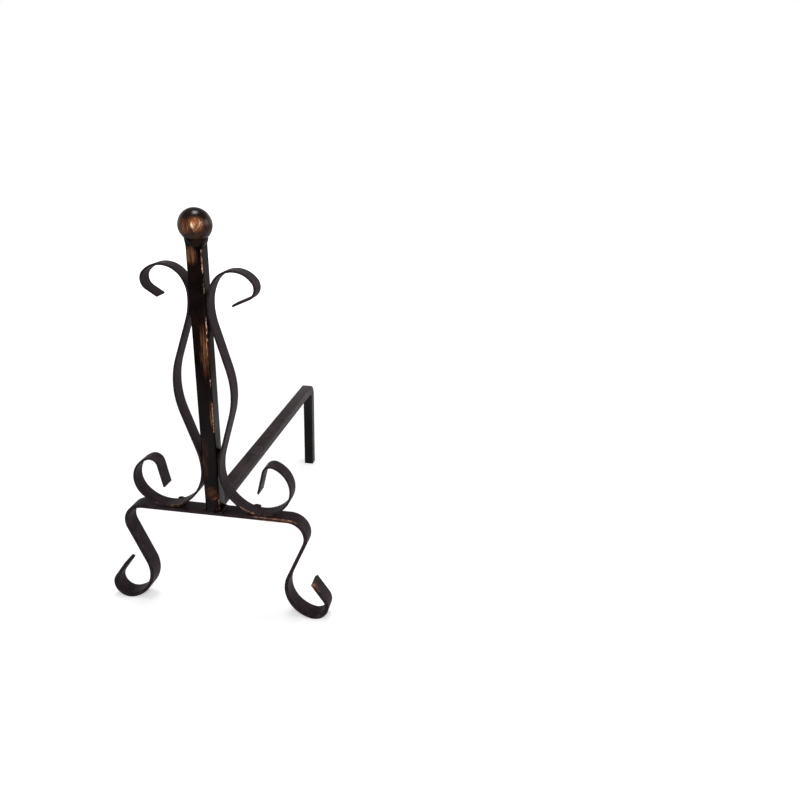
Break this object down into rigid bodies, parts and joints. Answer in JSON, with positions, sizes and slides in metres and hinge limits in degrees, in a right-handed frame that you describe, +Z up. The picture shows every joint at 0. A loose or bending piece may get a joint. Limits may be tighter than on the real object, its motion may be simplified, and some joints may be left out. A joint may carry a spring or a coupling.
{
  "type": "andiron",
  "caption": "Andiron: ball-topped square post with mirrored lyre straps, flat-bar base with curled feet, and a square log bar bent down into a rear leg.",
  "frame": {"origin": "on the floor, under the middle of the bounding box", "axes": "+Z up, -Y towards the front with the ball and straps, +Y along the log bar to the rear leg, +X to the right seen from the front"},
  "size_m": [0.2656, 0.4246, 0.4665],
  "materials": {
    "rubbed_ball": "black paint rubbed through with copper bronze, satin",
    "rubbed_post": "black paint with brushed copper patches, satin",
    "bronze_strap": "dark bronze paint, satin, copper on the rubbed edges",
    "dark_log_bar": "dark grey-brown paint, satin",
    "painted_weld": "black paint over weld metal, gloss"
  },
  "bodies": {
    "root": {"ball_finial": "rubbed_ball", "post": "rubbed_post", "lyre_strap_left": "bronze_strap", "lyre_strap_right": "bronze_strap", "base_strap": "bronze_strap", "log_bar": "dark_log_bar", "weld_ball": "painted_weld", "weld_post_left": "painted_weld", "weld_post_right": "painted_weld", "weld_upper_left": "painted_weld", "weld_upper_right": "painted_weld", "weld_lower_left": "painted_weld", "weld_lower_right": "painted_weld", "weld_scroll_left": "painted_weld", "weld_scroll_right": "painted_weld", "weld_log_bar": "painted_weld"}
  },
  "joints": []
}
